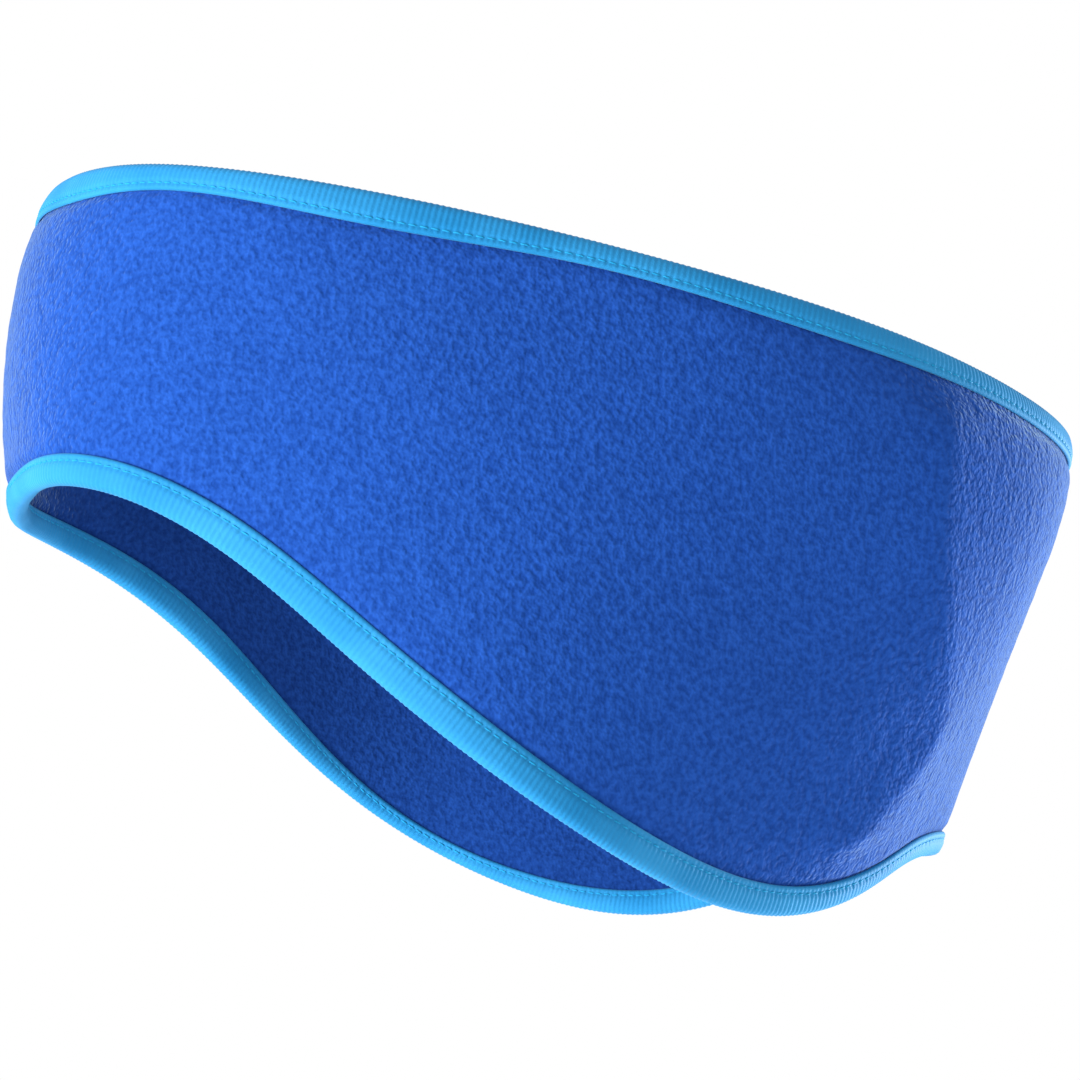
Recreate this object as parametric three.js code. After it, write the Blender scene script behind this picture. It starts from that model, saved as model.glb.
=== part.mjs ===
// Ear warmer headband: a closed loop of brushed fleece, narrow over the forehead and deep
// over the ears and the nape, with ribbed binding folded over its upper and lower edges.
// Millimetres. +Z is up, the wearer faces -Y and the wearer's left is +X. The origin is
// the centre of the head opening, where the band sits on the head.
import * as THREE from 'three';

// Driving dimensions
const HALF_WIDTH = 75.9; // centre to the fleece's outer face over the ears
const HALF_LENGTH = 97.4; // centre to the fleece's outer face at the forehead and nape
const RIM_HEIGHT = 44.5; // upper rim above the origin, before the tilt
const FULL_DEPTH = 98.6; // height of the wall where it is deepest, behind the ears
const TOP_CURL = 6.4; // the most that the upper rim curls in
const LOW_TUCK = 16.9; // the most that the lower rim tucks in
const WORN_TILT = 13; // degrees: the forehead sits higher than the nape
const FLEECE_THICKNESS = 2.4;
const EDGE_THICKNESS = 1.8; // the fleece where the bindings squeeze it
const EDGE_RELIEF = 2; // length over which the fleece swells back to its thickness
const BINDING_THICKNESS = 1;
const BINDING_WIDTH = 5.5; // outer leg, from the fold to its sewn edge
const BINDING_INSIDE = 4.6; // inner leg, from the fold to its edge
const CLEARANCE = 0.3; // between the fleece and the binding round it

// The wall's shape, as shares and powers
const FRONT_FULLNESS = 0.04; // how much the oval fills out between the forehead and the ears
const BACK_FULLNESS = 0.068; // how much it fills out between the ears and the nape
const CURL_REACH = 0.29; // share of the wall's height, from the top, that curls in
const CURL_POWER = 2; // how sharply it curls in at the upper rim
const TUCK_FROM = 0.11; // share of the wall's height, from the top, where the tuck starts
const TUCK_POWER_FRONT = 2.4; // how sharply it tucks in at the lower rim
const TUCK_POWER_BACK = 1.08;

// Facets
const STEPS_ROUND = 80;
const STEPS_DOWN = 7;
const STEPS_FOLD = 6;
const STEPS_EDGE = 4;

// A row for each section, evenly spaced from the forehead to the middle of the nape.
// depth is a share of FULL_DEPTH, curl of TOP_CURL and tuck of LOW_TUCK.
const SECTIONS = [
  { place: 'forehead', depth: 0.57, curl: 0.36, tuck: 0.55 },
  { place: 'brow', depth: 0.567, curl: 0.26, tuck: 0.38 },
  { place: 'outer brow', depth: 0.567, curl: 0.06, tuck: 0.09 },
  { place: 'temple', depth: 0.662, curl: 0.24, tuck: 0.32 },
  { place: 'front of the ear', depth: 0.841, curl: 0.16, tuck: 0.04 },
  { place: 'back of the ear', depth: 0.97, curl: 0.12, tuck: 0.2 },
  { place: 'behind the ear', depth: 1.0, curl: 0.53, tuck: 0.87 },
  { place: 'side of the neck', depth: 0.912, curl: 1.0, tuck: 1.0 },
  { place: 'side of the nape', depth: 0.814, curl: 0.46, tuck: 0.8 },
  { place: 'nape', depth: 0.789, curl: 0.26, tuck: 0.47 },
];

const UPPER_RIM = { at: 0, inward: 1 };
const LOWER_RIM = { at: 1, inward: -1 };
const SMALL_STEP = 1e-3;

// A smooth value round the band: the cosine series that passes through every section,
// the same on the left and on the right.
function smoothRound(column) {
  const last = SECTIONS.length - 1;
  const endShare = (index) => (index === 0 || index === last ? 0.5 : 1);
  const weights = SECTIONS.map((_, wave) => {
    const sum = SECTIONS.reduce((total, row, index) => {
      const phase = Math.cos((Math.PI * index * wave) / last);
      return total + endShare(index) * row[column] * phase;
    }, 0);
    return (2 / last) * endShare(wave) * sum;
  });
  const term = (angle) => (total, weight, wave) => total + weight * Math.cos(wave * angle);
  return (angle) => weights.reduce(term(angle), 0);
}

const depthShare = smoothRound('depth');
const curlShare = smoothRound('curl');
const tuckShare = smoothRound('tuck');

const depthAt = (angle) => FULL_DEPTH * depthShare(angle);

// 0 at the forehead, 1 at the nape.
const backness = (angle) => (1 - Math.cos(angle)) / 2;

// The band's oval seen from above. The angle runs from the forehead past the left ear.
function oval(angle) {
  const fullness = THREE.MathUtils.lerp(FRONT_FULLNESS, BACK_FULLNESS, backness(angle));
  const fill = 1 + fullness * Math.sin(2 * angle) ** 2;
  const x = HALF_WIDTH * Math.sin(angle) * fill;
  return new THREE.Vector2(x, -HALF_LENGTH * Math.cos(angle) * fill);
}

function ovalNormal(angle) {
  const along = oval(angle + SMALL_STEP).sub(oval(angle - SMALL_STEP));
  return new THREE.Vector2(along.y, -along.x).normalize();
}

// The wall's middle line in the upright section at an angle. x is how far it stands out
// from the oval and y how far it lies above the upper rim. down is a share of the wall's
// height, 0 at the upper rim and 1 at the lower one.
function middleLine(angle, down) {
  const toTop = Math.max(0, (CURL_REACH - down) / CURL_REACH);
  const toLow = Math.max(0, (down - TUCK_FROM) / (1 - TUCK_FROM));
  const tuckPower = THREE.MathUtils.lerp(TUCK_POWER_FRONT, TUCK_POWER_BACK, backness(angle));
  const curl = TOP_CURL * curlShare(angle) * toTop ** CURL_POWER;
  const tuck = LOW_TUCK * tuckShare(angle) * toLow ** tuckPower;
  return new THREE.Vector2(-FLEECE_THICKNESS / 2 - curl - tuck, -down * depthAt(angle));
}

// A point of the upright section at an angle, in space.
function inSpace(angle, point) {
  const plan = oval(angle).addScaledVector(ovalNormal(angle), point.x);
  return new THREE.Vector3(plan.x, plan.y, RIM_HEIGHT + point.y);
}

// A point of the wall: out is its distance from the middle line, outward if positive.
function wallPoint(angle, down, out) {
  const above = middleLine(angle, Math.max(0, down - SMALL_STEP));
  const below = middleLine(angle, Math.min(1, down + SMALL_STEP));
  const along = below.sub(above).normalize();
  const outward = new THREE.Vector2(-along.y, along.x);
  return inSpace(angle, middleLine(angle, down).addScaledVector(outward, out));
}

// How much longer a length square to a rim is when it is measured in the upright
// section, which a slanting rim crosses at an angle.
function slant(angle, rim) {
  const before = inSpace(angle - SMALL_STEP, middleLine(angle - SMALL_STEP, rim.at));
  const after = inSpace(angle + SMALL_STEP, middleLine(angle + SMALL_STEP, rim.at));
  const along = after.sub(before).normalize();
  const here = inSpace(angle, middleLine(angle, rim.at));
  const inner = inSpace(angle, middleLine(angle, rim.at + rim.inward * SMALL_STEP));
  const across = inner.sub(here).normalize();
  return 1 / Math.sqrt(1 - along.dot(across) ** 2);
}

// A point measured from the outermost line of a rim: length goes in along the wall,
// square to the rim, and out is the distance from the wall's middle.
function rimPoint(angle, rim, length, out) {
  const down = rim.at + (rim.inward * length * slant(angle, rim)) / depthAt(angle);
  return wallPoint(angle, down, out);
}

// Half a circle over a rim, from outside the wall to inside it, round a centre that lies
// a length in from the outermost line.
function roundOver(angle, rim, centre, radius, steps) {
  const points = [];
  for (let step = 0; step <= steps; step++) {
    const turn = (Math.PI * step) / steps;
    points.push(rimPoint(angle, rim, centre - radius * Math.sin(turn), radius * Math.cos(turn)));
  }
  return points;
}

// Joins a closed section at each step round the band into one closed solid.
function loopSolid(sectionAt) {
  const positions = [];
  const index = [];
  let count = 0;
  for (let step = 0; step < STEPS_ROUND; step++) {
    const section = sectionAt((2 * Math.PI * step) / STEPS_ROUND);
    count = section.length;
    section.forEach((point) => positions.push(point.x, point.y, point.z));
  }
  for (let step = 0; step < STEPS_ROUND; step++) {
    const here = step * count;
    const next = ((step + 1) % STEPS_ROUND) * count;
    for (let i = 0; i < count; i++) {
      const j = (i + 1) % count;
      index.push(here + i, here + j, next + j, here + i, next + j, next + i);
    }
  }
  const geometry = new THREE.BufferGeometry();
  geometry.setAttribute('position', new THREE.Float32BufferAttribute(positions, 3));
  geometry.setIndex(index);
  geometry.computeVertexNormals();
  return geometry;
}

// The binding folds round the squeezed edge of the fleece, with a clearance all round it.
const foldInside = EDGE_THICKNESS / 2 + CLEARANCE;
const foldOutside = foldInside + BINDING_THICKNESS;

// Fleece: down the outside, round the lower edge, up the inside and round the upper edge.
function fleeceSection(angle) {
  const thin = EDGE_THICKNESS / 2;
  const full = FLEECE_THICKNESS / 2;
  const side = (out, bindingLength) => {
    const edge = (rim) => [
      rimPoint(angle, rim, bindingLength, thin * out),
      rimPoint(angle, rim, bindingLength + EDGE_RELIEF, full * out),
    ];
    const share = (bindingLength + EDGE_RELIEF) / depthAt(angle);
    const top = share * slant(angle, UPPER_RIM);
    const low = 1 - share * slant(angle, LOWER_RIM);
    const middle = [];
    for (let step = 1; step < STEPS_DOWN; step++) {
      middle.push(wallPoint(angle, THREE.MathUtils.lerp(top, low, step / STEPS_DOWN), full * out));
    }
    return [...edge(UPPER_RIM), ...middle, ...edge(LOWER_RIM).reverse()];
  };
  return [
    ...side(1, BINDING_WIDTH),
    ...roundOver(angle, LOWER_RIM, foldOutside, thin, STEPS_EDGE),
    ...side(-1, BINDING_INSIDE).reverse(),
    ...roundOver(angle, UPPER_RIM, foldOutside, thin, STEPS_EDGE).reverse(),
  ];
}

// Binding: round the fold from the outer leg to the inner one, then back inside it.
function bindingSection(angle, rim) {
  const section = [
    rimPoint(angle, rim, BINDING_WIDTH, foldOutside),
    ...roundOver(angle, rim, foldOutside, foldOutside, STEPS_FOLD),
    rimPoint(angle, rim, BINDING_INSIDE, -foldOutside),
    rimPoint(angle, rim, BINDING_INSIDE, -foldInside),
    ...roundOver(angle, rim, foldOutside, foldInside, STEPS_EDGE).reverse(),
    rimPoint(angle, rim, BINDING_WIDTH, foldInside),
  ];
  return rim === UPPER_RIM ? section.reverse() : section;
}

// Cloths
const FLEECE = { color: 0x1f55bd, roughness: 0.95, metalness: 0 };
const BINDING = { color: 0x32a0d8, roughness: 0.7, metalness: 0 };

function piece(name, sectionAt, cloth) {
  const mesh = new THREE.Mesh(loopSolid(sectionAt), new THREE.MeshStandardMaterial(cloth));
  mesh.name = name;
  return mesh;
}

const headband = new THREE.Group();
headband.rotation.x = -THREE.MathUtils.degToRad(WORN_TILT);
headband.add(
  piece('fleece_band', fleeceSection, FLEECE),
  piece('top_binding', (angle) => bindingSection(angle, UPPER_RIM), BINDING),
  piece('bottom_binding', (angle) => bindingSection(angle, LOWER_RIM), BINDING),
);

export default headband;
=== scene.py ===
"""The looks of a fleece ear warmer headband: napped fleece, ribbed fold-over binding and stitches.

Metres. +Z is up, the wearer faces -Y and the wearer's left is +X. The wall follows the same
formulas as the part's source, so every piece lies along its solid. The soft corner at the back
of the head and the bindings' varying widths and thinner cloth depart from it by under 3 mm.
"""

import math

import bpy
import numpy as np
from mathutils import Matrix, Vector


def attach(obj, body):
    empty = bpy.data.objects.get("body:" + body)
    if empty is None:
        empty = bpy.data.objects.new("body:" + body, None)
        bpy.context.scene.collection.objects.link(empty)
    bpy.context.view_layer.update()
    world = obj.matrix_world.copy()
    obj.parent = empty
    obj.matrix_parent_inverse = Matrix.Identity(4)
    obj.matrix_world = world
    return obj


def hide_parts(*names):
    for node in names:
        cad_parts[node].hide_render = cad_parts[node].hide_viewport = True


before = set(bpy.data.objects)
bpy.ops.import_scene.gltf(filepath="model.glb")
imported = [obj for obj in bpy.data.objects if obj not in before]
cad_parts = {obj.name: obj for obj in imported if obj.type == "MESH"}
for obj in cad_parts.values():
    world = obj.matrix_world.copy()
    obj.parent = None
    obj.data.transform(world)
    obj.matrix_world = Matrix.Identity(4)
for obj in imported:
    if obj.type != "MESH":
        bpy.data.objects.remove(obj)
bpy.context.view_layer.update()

MM = 0.001

# Driving dimensions, as in the part's source
HALF_WIDTH = 75.9 * MM
HALF_LENGTH = 97.4 * MM
RIM_HEIGHT = 44.5 * MM
FULL_DEPTH = 98.6 * MM
TOP_CURL = 6.4 * MM
LOW_TUCK = 16.9 * MM
WORN_TILT = math.radians(13)
FLEECE_THICKNESS = 2.4 * MM
EDGE_THICKNESS = 1.8 * MM
FRONT_FULLNESS = 0.04
BACK_FULLNESS = 0.068
CURL_REACH = 0.29
CURL_POWER = 2
TUCK_FROM = 0.11
TUCK_POWER_FRONT = 2.4
TUCK_POWER_BACK = 1.08

# A row for each section, evenly spaced from the forehead to the nape, as in the part's source.
# top_leg, low_leg and inner_leg are the sewn widths of the binding in millimetres: above and
# below on the outside, and on the inside.
SECTIONS = [
    {"depth": 0.57, "curl": 0.36, "tuck": 0.55, "top_leg": 5.8, "low_leg": 5.0, "inner_leg": 4.4},
    {"depth": 0.567, "curl": 0.26, "tuck": 0.38, "top_leg": 6.4, "low_leg": 5.0, "inner_leg": 4.5},
    {"depth": 0.567, "curl": 0.06, "tuck": 0.09, "top_leg": 4.9, "low_leg": 5.4, "inner_leg": 5.1},
    {"depth": 0.662, "curl": 0.24, "tuck": 0.32, "top_leg": 6.1, "low_leg": 6.1, "inner_leg": 5.9},
    {"depth": 0.841, "curl": 0.16, "tuck": 0.04, "top_leg": 4.9, "low_leg": 6.1, "inner_leg": 4.2},
    {"depth": 0.97, "curl": 0.12, "tuck": 0.2, "top_leg": 4.7, "low_leg": 5.9, "inner_leg": 3.1},
    {"depth": 1.0, "curl": 0.53, "tuck": 0.87, "top_leg": 5.0, "low_leg": 5.7, "inner_leg": 4.5},
    {"depth": 0.912, "curl": 1.0, "tuck": 1.0, "top_leg": 5.5, "low_leg": 4.9, "inner_leg": 4.6},
    {"depth": 0.814, "curl": 0.46, "tuck": 0.8, "top_leg": 5.5, "low_leg": 4.8, "inner_leg": 4.6},
    {"depth": 0.789, "curl": 0.26, "tuck": 0.47, "top_leg": 5.5, "low_leg": 4.8, "inner_leg": 4.6},
]

# The soft corner where the wall turns round the back of the head: its place in degrees from
# the forehead, at each share of the wall's height from the top
CORNER_PATH = [
    {"down": 0.0, "degrees": 124},
    {"down": 0.15, "degrees": 124},
    {"down": 0.3, "degrees": 126},
    {"down": 0.5, "degrees": 133},
    {"down": 0.68, "degrees": 139},
    {"down": 0.84, "degrees": 131},
    {"down": 1.0, "degrees": 124},
]
CORNER_HEIGHT = 2.3 * MM  # how far it stands out
CORNER_REACH = 11 * MM
CORNER_RADIUS = 2.2 * MM
CORNER_FADE = 9 * MM  # it grows to its height over this length from the binding

# Fleece
FLEECE_PUFF = 0.25 * MM  # how far the nap stands proud of the cloth's measured thickness
NAP_HEIGHT = 0.07 * MM  # relief of the nap that is modelled
NAP_LONGEST = 5.5 * MM  # from one tuft to the next
NAP_SHORTEST = 2.6 * MM
SWELL_RANGE = (-0.4 * MM, 1.4 * MM)  # past the sewn edge, where the squeezed cloth swells
NAP_RANGE = (-0.2 * MM, 1.0 * MM)  # past the sewn edge, where the nap's relief starts
FACE_START = 1.2  # from the rim to a face's first row, in outer radii of the fold
UPPER_SQUARE = 0.96  # a length square to the upper rim, for each metre down the wall
LOWER_SQUARE = 0.92

# Binding
TAPE_THICKNESS = 0.8 * MM  # less than the solid binding's, which stands in for its seam too
TAPE_CLEARANCE = 0.15 * MM
RIB_PITCH = 1.0 * MM
RIB_HEIGHT = 0.05 * MM
RIB_RANGE = (0.1 * MM, 0.9 * MM)  # from the sewn edge, where the ribs rise
LIP_DROP = 0.4 * MM  # how far the sewn edge turns in
LIP_REACH = 0.22 * MM
PRESS_DEPTH = 0.1 * MM  # how far the stitches press the cloth round them
PRESS_REACH = 2.6 * MM
CROWN_HEIGHT = 0.12 * MM

# Stitches
STITCH_PITCH = 1.8 * MM
STITCH_IN = 1.2 * MM  # from the binding's sewn edge to the line of stitches
STITCH_GROOVE = 0.18 * MM  # depth of the groove that they lie in
GROOVE_WIDTH = 0.42 * MM
DIMPLE_DEPTH = 0.1 * MM  # extra depth at each needle hole
DIMPLE_WIDTH = 0.5 * MM
THREAD = 0.32 * MM
STITCH_SPAN = 0.92  # share of the pitch that a stitch covers
STITCH_SINK = 0.1 * MM  # how far the thread sinks into the groove
STITCH_RISE = 0.5  # the thread's middle over the groove, in threads
STITCH_DIP = 0.95  # how far a stitch's ends dip in, in threads
STITCH_DIP_POWER = 3
STITCH_TAPER = 0.8
STITCH_SWAY = 0.12 * MM  # a stitch lies a little askew to its line

# Facets and samples
FLEECE_ROUND = 640
FLEECE_OUTSIDE = 104
FLEECE_INSIDE = 40
FLEECE_EDGE_STEPS = 4
LEG_ROWS_OUTSIDE = 12
LEG_ROWS_INSIDE = 8
LEG_CROWDING = 1.25  # over 1, a leg's rows crowd towards its sewn edge
FOLD_STEPS = 8
FOLD_BACK_STEPS = 4
RIB_STEPS = 5
THREAD_SIDES = 6
THREAD_RINGS = 7
RIM_SAMPLES = 4001
CORNER_SAMPLES = 120
CORNER_BLUR = 17  # samples of the corner's line that are averaged
NAP_WAVES = 90

# Colours, linear
# The fleece's colours in the nap's pits and on its tufts: painted shade in the pits and painted
# light on the tufts.
FLEECE_SHADED_PIT = (0.0080, 0.045, 0.243, 1)
FLEECE_LIT_TUFT = (0.0145, 0.073, 0.355, 1)
BINDING_BLUE = (0.009, 0.158, 0.366, 1)
BINDING_PALE = (0.022, 0.212, 0.446, 1)
THREAD_BLUE = (0.012, 0.205, 0.400, 1)
THREAD_PALE = (0.015, 0.25625, 0.500, 1)
FLOOR_PALE = (0.97, 0.97, 0.97, 1)
FLOOR_SHADE = (0.9506, 0.9506, 0.9506, 1)
OUTSIDE_BRIGHTNESS = 0.9
# The inner face's fleece is drawn at two thirds of the outer's brightness: painted shade inside
# the band.
INSIDE_PAINTED_SHADE_BRIGHTNESS = 0.6
CLOUDS = 0.04  # how much the fleece's brightness wanders, up and down

# Scales of the materials' noises, for each metre
TUFTS = 1000
FINE_NAP = 1700
FLEECE_CLOUDS = 45
YARN = 1500
BINDING_CLOUDS = 60
TWIST = 2600
FLOOR_CLOUDS = 3

# Heights of the materials' bumps
TUFT_BUMP = 0.42 * MM
FINE_NAP_BUMP = 0.08 * MM
YARN_BUMP = 0.12 * MM

# The camera, in the photograph's 1080 x 1080 pixels
PHOTO_SIDE = 1080
FOCAL_PIXELS = 3290.7
CENTRE_PIXEL = (503.5, 566.3)
CAMERA_AZIMUTH = math.radians(79.48)
CAMERA_ELEVATION = math.radians(-5.94)
CAMERA_DISTANCE = 0.6
SENSOR_WIDTH = 36
CLIP_NEAR = 0.01
CLIP_FAR = 50

# The studio
LIGHT_DISTANCE = 1.2
FLOOR_HALF = 8.0
FLOOR_HEIGHT = -0.6

SMALL_STEP = 1e-3
rng = np.random.default_rng(7)


# The wall

def smooth_round(column):
    """The cosine series through one column of SECTIONS, the same on the left and on the right."""
    values = np.array([row[column] for row in SECTIONS])
    waves = np.arange(len(values))
    ends = np.ones(len(values))
    ends[[0, -1]] = 0.5
    phases = np.cos(np.pi * np.outer(waves, waves) / waves[-1])
    weights = 2 / waves[-1] * ends * (phases @ (ends * values))
    return lambda angle: np.cos(np.multiply.outer(angle, waves)) @ weights


depth_share = smooth_round("depth")
curl_share = smooth_round("curl")
tuck_share = smooth_round("tuck")
top_leg = smooth_round("top_leg")
low_leg = smooth_round("low_leg")
inner_leg = smooth_round("inner_leg")


def mix(start, end, share):
    return start + (end - start) * share


def smooth_step(low, high, value):
    share = np.clip((value - low) / (high - low), 0, 1)
    return share * share * (3 - 2 * share)


def unit(vectors):
    return vectors / np.linalg.norm(vectors, axis=-1, keepdims=True)


def backness(angle):
    """0 at the forehead, 1 at the nape."""
    return (1 - np.cos(angle)) / 2


def oval(angle):
    """The band's oval seen from above. The angle runs from the forehead past the left ear."""
    fill = 1 + mix(FRONT_FULLNESS, BACK_FULLNESS, backness(angle)) * np.sin(2 * angle) ** 2
    return np.stack([HALF_WIDTH * np.sin(angle) * fill, -HALF_LENGTH * np.cos(angle) * fill], -1)


def oval_normal(angle):
    along = oval(angle + SMALL_STEP) - oval(angle - SMALL_STEP)
    return unit(np.stack([along[..., 1], -along[..., 0]], -1))


def middle_line(angle, down):
    """How far the wall's middle stands out from the oval, and its height over the upper rim."""
    to_top = np.maximum(0, (CURL_REACH - down) / CURL_REACH)
    to_low = np.maximum(0, (down - TUCK_FROM) / (1 - TUCK_FROM))
    tuck_power = mix(TUCK_POWER_FRONT, TUCK_POWER_BACK, backness(angle))
    curl = TOP_CURL * curl_share(angle) * to_top**CURL_POWER
    tuck = LOW_TUCK * tuck_share(angle) * to_low**tuck_power
    height = -down * FULL_DEPTH * depth_share(angle)
    return np.stack([-FLEECE_THICKNESS / 2 - curl - tuck, height], -1)


def wall_point(angle, down, out):
    """A point of the wall, tilted as worn. down is 0 at the upper rim and 1 at the lower one,
    and out is the distance from the wall's middle."""
    angle, down, out = np.broadcast_arrays(angle, down, out)
    above = middle_line(angle, np.maximum(0, down - SMALL_STEP))
    below = middle_line(angle, np.minimum(1, down + SMALL_STEP))
    along = unit(below - above)
    middle = middle_line(angle, down)
    stands_out = middle[..., 0] - along[..., 1] * out
    height = RIM_HEIGHT + middle[..., 1] + along[..., 0] * out
    plan = oval(angle) + oval_normal(angle) * stands_out[..., None]
    cos, sin = math.cos(WORN_TILT), math.sin(WORN_TILT)
    y = cos * plan[..., 1] + sin * height
    z = cos * height - sin * plan[..., 1]
    return np.stack([plan[..., 0], y, z], -1)


class Rim:
    """One rim of the wall. Lengths run in from it, square to it, along the wall."""

    def __init__(self, at, inward, outer_leg):
        self.at, self.inward, self.outer_leg = at, inward, outer_leg
        angles = np.linspace(0, 2 * np.pi, RIM_SAMPLES)
        line = wall_point(angles, at, 0.0)
        steps = np.linalg.norm(np.diff(line, axis=0), axis=1)
        self.length = steps.sum()
        self._angles, self._along = angles, np.concatenate([[0], np.cumsum(steps)])

    def angle_at(self, distance):
        """The angle at a distance round the rim from the forehead."""
        return np.interp(distance % self.length, self._along, self._angles)

    def sewn_width(self, angle, side):
        """From the fold to the sewn edge of the binding's leg on that side, 1 for outside."""
        leg = self.outer_leg if side > 0 else inner_leg
        return leg(angle) * MM

    def point(self, angle, length, out):
        """The point a length in from the rim, and out from the wall's middle."""
        before = wall_point(angle - SMALL_STEP, self.at, 0.0)
        after = wall_point(angle + SMALL_STEP, self.at, 0.0)
        along = (after - before) / (2 * SMALL_STEP)
        inner = wall_point(angle, self.at + self.inward * SMALL_STEP, 0.0)
        across = (inner - wall_point(angle, self.at, 0.0)) / SMALL_STEP
        speed = np.linalg.norm(along, axis=-1)
        leaning = (across * along).sum(-1) / speed
        square = np.sqrt((across**2).sum(-1) - leaning**2)
        down = self.at + self.inward * length / square
        return wall_point(angle - length * leaning / (square * speed), down, out)


UPPER_RIM = Rim(0, 1, top_leg)
LOWER_RIM = Rim(1, -1, low_leg)
FOLD_INSIDE = EDGE_THICKNESS / 2 + TAPE_CLEARANCE
FOLD_OUTSIDE = FOLD_INSIDE + TAPE_THICKNESS


# Meshes

def mesh_piece(name, points, quads, material):
    """A smooth mesh of quads."""
    mesh = bpy.data.meshes.new(name)
    mesh.vertices.add(len(points))
    mesh.vertices.foreach_set("co", points.astype(np.float32).ravel())
    mesh.loops.add(quads.size)
    mesh.loops.foreach_set("vertex_index", quads.astype(np.int32).ravel())
    mesh.polygons.add(len(quads))
    mesh.polygons.foreach_set("loop_start", np.arange(0, quads.size, 4, dtype=np.int32))
    mesh.update(calc_edges=True)
    mesh.polygons.foreach_set("use_smooth", np.ones(len(quads), dtype=bool))
    mesh.materials.append(material)
    mesh.validate()
    piece = bpy.data.objects.new(name, mesh)
    bpy.context.scene.collection.objects.link(piece)
    return piece


def loop_quads(rounds, around):
    """The quads of a closed section of rounds points that is repeated in a closed loop."""
    step = np.arange(around)[:, None] * rounds
    after = (step + rounds) % (rounds * around)
    here = np.arange(rounds)[None, :]
    beside = (here + 1) % rounds
    return np.stack([step + here, step + beside, after + beside, after + here], -1).reshape(-1, 4)


def loop_piece(name, points, material):
    """points is one closed section after another round the band."""
    around, rounds = points.shape[:2]
    return mesh_piece(name, points.reshape(-1, 3), loop_quads(rounds, around), material)


# Fleece

def nap_relief(places):
    """A smooth random relief, from about -1 to 1, of waves in all directions."""
    directions = unit(rng.normal(size=(NAP_WAVES, 3)))
    numbers = 2 * np.pi / rng.uniform(NAP_SHORTEST, NAP_LONGEST, NAP_WAVES)
    phases = rng.uniform(0, 2 * np.pi, NAP_WAVES)
    total = np.zeros(len(places))
    for direction, number, phase in zip(directions, numbers, phases):
        total += np.cos(places @ (direction * number) + phase)
    return total / math.sqrt(NAP_WAVES / 2) / 2


def back_corner(angle, down):
    """How far the soft back corner lifts the wall, the same on the left and on the right."""
    path_down = np.linspace(0, 1, CORNER_SAMPLES)
    heights = [row["down"] for row in CORNER_PATH]
    places = [row["degrees"] for row in CORNER_PATH]
    path_angle = np.radians(np.interp(path_down, heights, places))
    padded = np.pad(path_angle, CORNER_BLUR // 2, mode="edge")
    path_angle = np.convolve(padded, np.ones(CORNER_BLUR) / CORNER_BLUR, mode="valid")
    from_forehead = np.minimum(angle, 2 * np.pi - angle)
    nearest = np.full(np.broadcast(angle, down).shape, np.inf)
    for place, height in zip(path_angle, path_down):
        along = (from_forehead - place) * HALF_LENGTH
        up = (down - height) * FULL_DEPTH
        nearest = np.minimum(nearest, along**2 + up**2)
    rounded = np.sqrt(nearest + CORNER_RADIUS**2) - CORNER_RADIUS
    return CORNER_HEIGHT * np.exp(-rounded / CORNER_REACH)


def fleece_face(angle, count, side):
    """One face of the fleece, from the upper rim to the lower one, with its nap."""
    share = np.linspace(0, 1, count)[None, :]
    depth = FULL_DEPTH * depth_share(angle)[:, None]
    start = FACE_START * FOLD_OUTSIDE / depth
    down = start + (1 - 2 * start) * share
    upper = down * depth * UPPER_SQUARE - UPPER_RIM.sewn_width(angle, side)[:, None]
    lower = (1 - down) * depth * LOWER_SQUARE - LOWER_RIM.sewn_width(angle, side)[:, None]
    past_binding = np.minimum(upper, lower)
    thin, full = EDGE_THICKNESS / 2, FLEECE_THICKNESS / 2 + FLEECE_PUFF
    out = mix(thin, full, smooth_step(*SWELL_RANGE, past_binding))
    middle = wall_point(angle[:, None], down, 0.0)
    nap = nap_relief(middle.reshape(-1, 3)).reshape(down.shape)
    out = out + NAP_HEIGHT * nap * smooth_step(*NAP_RANGE, past_binding)
    corner = back_corner(angle[:, None], down) * smooth_step(0, CORNER_FADE, past_binding)
    return wall_point(angle[:, None], down, side * out + corner)


def fleece_edge(rim, angle):
    """Half a circle over a rim, from outside the wall to inside it."""
    turn = np.linspace(0, np.pi, FLEECE_EDGE_STEPS + 1)[None, :]
    thin = EDGE_THICKNESS / 2
    return rim.point(angle[:, None], FOLD_OUTSIDE - thin * np.sin(turn), thin * np.cos(turn))


def fleece_band(outside, inside):
    """The fleece's loop, with one material for each of its faces: the inner face's is a darker
    copy of the outer's, painted shade inside the band.
    """
    angle = np.linspace(0, 2 * np.pi, FLEECE_ROUND, endpoint=False)
    low = fleece_edge(LOWER_RIM, angle)
    top = fleece_edge(UPPER_RIM, angle)
    outer = fleece_face(angle, FLEECE_OUTSIDE, 1)
    inner = fleece_face(angle, FLEECE_INSIDE, -1)
    points = np.concatenate([outer, low, inner[:, ::-1], top[:, ::-1]], axis=1)
    band = loop_piece("fleece", points, outside)
    band.data.materials.append(inside)
    # The inner face gets the darker copy of the fleece: painted shade.
    of_inner_face = np.arange(points.shape[1]) >= FLEECE_OUTSIDE + low.shape[1]
    indexes = np.tile(of_inner_face, len(angle)).astype(np.int32)
    band.data.polygons.foreach_set("material_index", indexes)
    return band


# Binding

def bell(distance, width):
    return np.exp(-((distance / width) ** 2))


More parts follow.
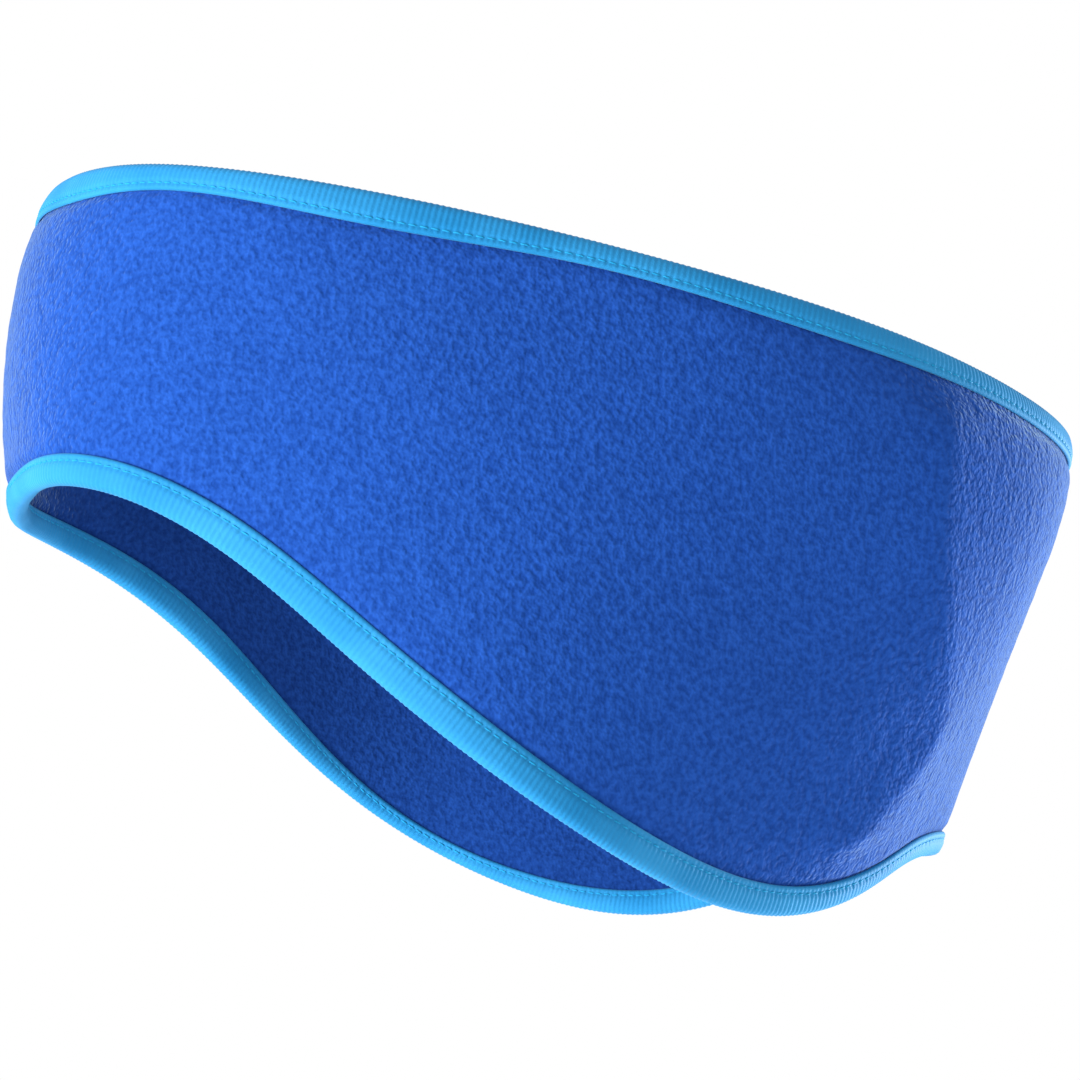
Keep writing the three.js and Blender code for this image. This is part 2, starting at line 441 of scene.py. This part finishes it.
def leg_face(rim, angle, side, count):
    """A leg's shown face from its sewn edge to the fold: lengths, distances out, ribs' heights
    and stitches' depths, a row for each angle."""
    width = rim.sewn_width(angle, side)
    from_edge = (width - FOLD_OUTSIDE) * np.linspace(0, 1, count)[None, :] ** LEG_CROWDING
    lip = -LIP_DROP * np.exp(-from_edge / LIP_REACH)
    press = -PRESS_DEPTH * (1 - smooth_step(0, PRESS_REACH, from_edge))
    groove = -STITCH_GROOVE * bell(from_edge - STITCH_IN, GROOVE_WIDTH)
    crown = CROWN_HEIGHT * np.sin(np.pi * from_edge / (width - FOLD_OUTSIDE))
    ribs = RIB_HEIGHT * smooth_step(*RIB_RANGE, from_edge)
    dimples = DIMPLE_DEPTH * bell(from_edge - STITCH_IN, DIMPLE_WIDTH)
    return width - from_edge, FOLD_OUTSIDE + lip + press + groove + crown, ribs, dimples


def binding_piece(name, rim, material):
    """The ribbed binding over a rim: its outer leg, the fold, its inner leg and the way back."""
    around = round(rim.length / RIB_PITCH) * RIB_STEPS
    place = np.arange(around)[:, None] * rim.length / around
    angle = rim.angle_at(place)
    rib = np.cos(2 * np.pi * np.arange(around) / RIB_STEPS)[:, None]
    stitches = round(rim.length / STITCH_PITCH)
    dimple = 0.5 + 0.5 * np.cos(2 * np.pi * place / rim.length * stitches)
    inside = FOLD_INSIDE * np.ones_like(place)

    def leg(side, count):
        lengths, outs, rib_heights, dimple_depths = leg_face(rim, angle, side, count)
        return lengths, side * (outs + rib * rib_heights - dimple * dimple_depths)

    def bend(turn, radius):
        return FOLD_OUTSIDE - radius * np.sin(turn), radius * np.cos(turn)

    def hidden_edge(side):
        return rim.sewn_width(angle, side), side * inside

    outer = leg(1, LEG_ROWS_OUTSIDE)
    fold = bend(np.linspace(0, np.pi, FOLD_STEPS + 1)[1:-1], FOLD_OUTSIDE + RIB_HEIGHT * rib)
    inner = [part[:, ::-1] for part in leg(-1, LEG_ROWS_INSIDE)]
    back = bend(np.linspace(np.pi, 0, FOLD_BACK_STEPS + 1), inside)
    section = [outer, fold, inner, hidden_edge(-1), back, hidden_edge(1)]
    lengths, outs = (np.concatenate(part, axis=1) for part in zip(*section))
    points = rim.point(angle, lengths, outs)
    if rim is UPPER_RIM:
        points = points[:, ::-1]
    return loop_piece(name, points, material)


# Stitches

def tube_quads(sides, rings):
    """The quads of one closed tube: its wall, and two quads over each six-sided end."""
    ring = np.arange(rings - 1)[:, None] * sides
    here = np.arange(sides)[None, :]
    beside = (here + 1) % sides
    wall = np.stack([ring + here, ring + beside, ring + sides + beside, ring + sides + here], -1)
    first = np.array([[0, 3, 2, 1], [0, 5, 4, 3]])
    last = (rings - 1) * sides + np.array([[0, 1, 2, 3], [0, 3, 4, 5]])
    return np.concatenate([wall.reshape(-1, 4), first, last])


def stitch_row(name, rim, side, material):
    """Short lock stitches along a leg of the binding, each dipping in at both its ends."""
    count = round(rim.length / STITCH_PITCH)
    starts = (np.arange(count) + 0.5) * rim.length / count
    along = np.linspace(-0.5, 0.5, THREAD_RINGS)
    span = STITCH_SPAN * STITCH_PITCH
    angle = rim.angle_at(starts[:, None] + along[None, :] * span)[:, :, None]
    dip = np.abs(2 * along) ** STITCH_DIP_POWER
    groove = FOLD_OUTSIDE - STITCH_GROOVE - STITCH_SINK
    lift = groove + (STITCH_RISE - STITCH_DIP * dip) * THREAD
    radius = THREAD / 2 * np.sqrt(1 - STITCH_TAPER * dip**2)
    turn = np.linspace(0, 2 * np.pi, THREAD_SIDES, endpoint=False)
    sway = STITCH_SWAY * along
    length = sway[:, None] + radius[:, None] * np.cos(turn)[None, :] - STITCH_IN
    out = side * (lift[:, None] + radius[:, None] * np.sin(turn)[None, :])
    points = rim.point(angle, rim.sewn_width(angle, side) + length[None], out[None])
    one = tube_quads(THREAD_SIDES, THREAD_RINGS)
    if side * rim.inward < 0:
        one = one[:, ::-1]
    first_points = np.arange(count)[:, None, None] * THREAD_SIDES * THREAD_RINGS
    quads = (first_points + one[None]).reshape(-1, 4)
    return mesh_piece(name, points.reshape(-1, 3), quads, material)


# Materials

class Nodes:
    """A few short words for making a material's nodes."""

    def __init__(self, name):
        self.material = bpy.data.materials.new(name)
        self.material.use_nodes = True
        self.tree = self.material.node_tree
        self.tree.nodes.clear()
        self.shader = self.add("ShaderNodeBsdfPrincipled")
        output = self.add("ShaderNodeOutputMaterial")
        self.join(self.shader, "BSDF", output, "Surface")

    def add(self, kind, inputs=None, **settings):
        """A node, with the values of its inputs and its other settings."""
        node = self.tree.nodes.new(kind)
        for key, value in settings.items():
            setattr(node, key, value)
        for key, value in (inputs or {}).items():
            node.inputs[key].default_value = value
        return node

    def join(self, source, output, target, socket):
        self.tree.links.new(source.outputs[output], target.inputs[socket])

    def noise(self, scale, detail=2.0):
        node = self.add("ShaderNodeTexNoise", {"Scale": scale, "Detail": detail})
        self.join(self.add("ShaderNodeTexCoord"), "Object", node, "Vector")
        return node

    def ramp(self, noise, dark_at, dark, light_at, light):
        """Colours from a noise, from the dark one to the light one."""
        node = self.add("ShaderNodeValToRGB")
        ends = ((dark_at, dark), (light_at, light))
        for element, (position, colour) in zip(node.color_ramp.elements, ends):
            element.position = position
            element.color = colour
        self.join(noise, "Fac", node, "Fac")
        return node

    def product(self, one, other):
        node = self.add("ShaderNodeMix", data_type="RGBA", blend_type="MULTIPLY")
        node.inputs["Factor"].default_value = 1.0
        self.join(one, "Color", node, "A")
        self.join(other, "Color", node, "B")
        return node

    def bump(self, noise, distance, strength=1.0, under=None):
        node = self.add("ShaderNodeBump", {"Distance": distance, "Strength": strength})
        self.join(noise, "Fac", node, "Height")
        if under is not None:
            self.join(under, "Normal", node, "Normal")
        return node

    def finish(self, values):
        """Sets what is the same all over the surface, and gives the finished material."""
        for key, value in values.items():
            self.shader.inputs[key].default_value = value
        return self.material


def fleece_material(name, brightness):
    nodes = Nodes(name)
    tufts = nodes.noise(TUFTS, detail=1.0)
    low, high = brightness * (1 - CLOUDS), brightness * (1 + CLOUDS)
    # Darker in the pits and lighter on the tufts of the bump's own noise: painted shade and
    # painted light over the nap.
    colour = nodes.ramp(tufts, 0.32, FLEECE_SHADED_PIT, 0.68, FLEECE_LIT_TUFT)
    clouds = nodes.noise(FLEECE_CLOUDS)
    shade = nodes.ramp(clouds, 0.3, (low, low, low, 1), 0.7, (high, high, high, 1))
    nodes.join(nodes.product(colour, shade), "Result", nodes.shader, "Base Color")
    fine_bump = nodes.bump(nodes.noise(FINE_NAP), FINE_NAP_BUMP, 0.5)
    nodes.join(nodes.bump(tufts, TUFT_BUMP, under=fine_bump), "Normal", nodes.shader, "Normal")
    return nodes.finish({
        "Roughness": 0.95,
        "Specular IOR Level": 0.02,
        "Sheen Weight": 0.38,
        "Sheen Roughness": 0.3,
        "Sheen Tint": (0.72, 1.0, 0.98, 1),
    })


def binding_material():
    nodes = Nodes("binding")
    colour = nodes.ramp(nodes.noise(BINDING_CLOUDS), 0.25, BINDING_BLUE, 0.75, BINDING_PALE)
    nodes.join(colour, "Color", nodes.shader, "Base Color")
    nodes.join(nodes.bump(nodes.noise(YARN), YARN_BUMP, 0.6), "Normal", nodes.shader, "Normal")
    return nodes.finish({
        "Roughness": 0.7,
        "Specular IOR Level": 0.08,
        "Sheen Weight": 0.06,
        "Sheen Roughness": 0.4,
        "Sheen Tint": (0.7, 0.9, 1.0, 1),
    })


def thread_material():
    nodes = Nodes("thread")
    colour = nodes.ramp(nodes.noise(TWIST, detail=1.0), 0.3, THREAD_BLUE, 0.7, THREAD_PALE)
    nodes.join(colour, "Color", nodes.shader, "Base Color")
    return nodes.finish({"Roughness": 0.5, "Specular IOR Level": 0.05})


def floor_material():
    nodes = Nodes("floor")
    colour = nodes.ramp(nodes.noise(FLOOR_CLOUDS, detail=1.0), 0.3, FLOOR_SHADE, 0.7, FLOOR_PALE)
    nodes.join(colour, "Color", nodes.shader, "Base Color")
    return nodes.finish({"Roughness": 0.9})


# The object

def build_binding(name, rim, binding, thread):
    """One binding with its two rows of stitches."""
    tape = binding_piece(f"{name}_tape", rim, binding)
    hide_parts(f"{name}_binding")
    sewn = [
        stitch_row(f"{name}_stitches_outside", rim, 1, thread),
        stitch_row(f"{name}_stitches_inside", rim, -1, thread),
    ]
    for piece in (tape, *sewn):
        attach(piece, "root")


def build_object():
    outside = fleece_material("fleece", OUTSIDE_BRIGHTNESS)
    # A darker copy of the fleece for the inner face: painted shade inside the band.
    inside = fleece_material("fleece_inside_painted_shade", INSIDE_PAINTED_SHADE_BRIGHTNESS)
    fleece = fleece_band(outside, inside)
    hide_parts("fleece_band")
    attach(fleece, "root")
    binding, thread = binding_material(), thread_material()
    build_binding("top", UPPER_RIM, binding, thread)
    build_binding("bottom", LOWER_RIM, binding, thread)


# The studio

def camera():
    data = bpy.data.cameras.new("camera")
    data.sensor_width = SENSOR_WIDTH
    data.lens = FOCAL_PIXELS / PHOTO_SIDE * data.sensor_width
    data.shift_x = (PHOTO_SIDE / 2 - CENTRE_PIXEL[0]) / PHOTO_SIDE
    data.shift_y = (CENTRE_PIXEL[1] - PHOTO_SIDE / 2) / PHOTO_SIDE
    data.clip_start, data.clip_end = CLIP_NEAR, CLIP_FAR
    eye = bpy.data.objects.new("camera", data)
    level = math.cos(CAMERA_ELEVATION)
    back = Vector((
        math.sin(CAMERA_AZIMUTH) * level,
        -math.cos(CAMERA_AZIMUTH) * level,
        math.sin(CAMERA_ELEVATION),
    ))
    eye.location = back * CAMERA_DISTANCE
    eye.rotation_mode = "QUATERNION"
    eye.rotation_quaternion = (-back).to_track_quat("-Z", "Y")
    bpy.context.scene.collection.objects.link(eye)
    bpy.context.scene.camera = eye


def area_light(name, direction, size, watts):
    """A round lamp that looks at the origin from that direction."""
    data = bpy.data.lights.new(name, "AREA")
    data.shape = "DISK"
    data.size = size
    data.energy = watts
    light = bpy.data.objects.new(name, data)
    toward = Vector(direction).normalized()
    light.location = toward * LIGHT_DISTANCE
    light.rotation_mode = "QUATERNION"
    light.rotation_quaternion = toward.to_track_quat("Z", "Y")
    bpy.context.scene.collection.objects.link(light)


def floor():
    corners = [(-1, -1), (1, -1), (1, 1), (-1, 1)]
    points = np.array([[x * FLOOR_HALF, y * FLOOR_HALF, FLOOR_HEIGHT] for x, y in corners])
    mesh_piece("floor", points, np.array([[0, 1, 2, 3]]), floor_material())


def studio():
    world = bpy.data.worlds.new("studio")
    bpy.context.scene.world = world
    world.use_nodes = True
    world.node_tree.nodes["Background"].inputs["Color"].default_value = (1, 1, 1, 1)
    world.node_tree.nodes["Background"].inputs["Strength"].default_value = 1.0
    area_light("key", direction=(0.3, -0.9, -0.08), size=0.7, watts=28.0)
    area_light("back", direction=(-0.4, 0.9, -0.18), size=0.25, watts=30.0)
    floor()
    bpy.context.scene.view_settings.view_transform = "Standard"


camera()
studio()
build_object()
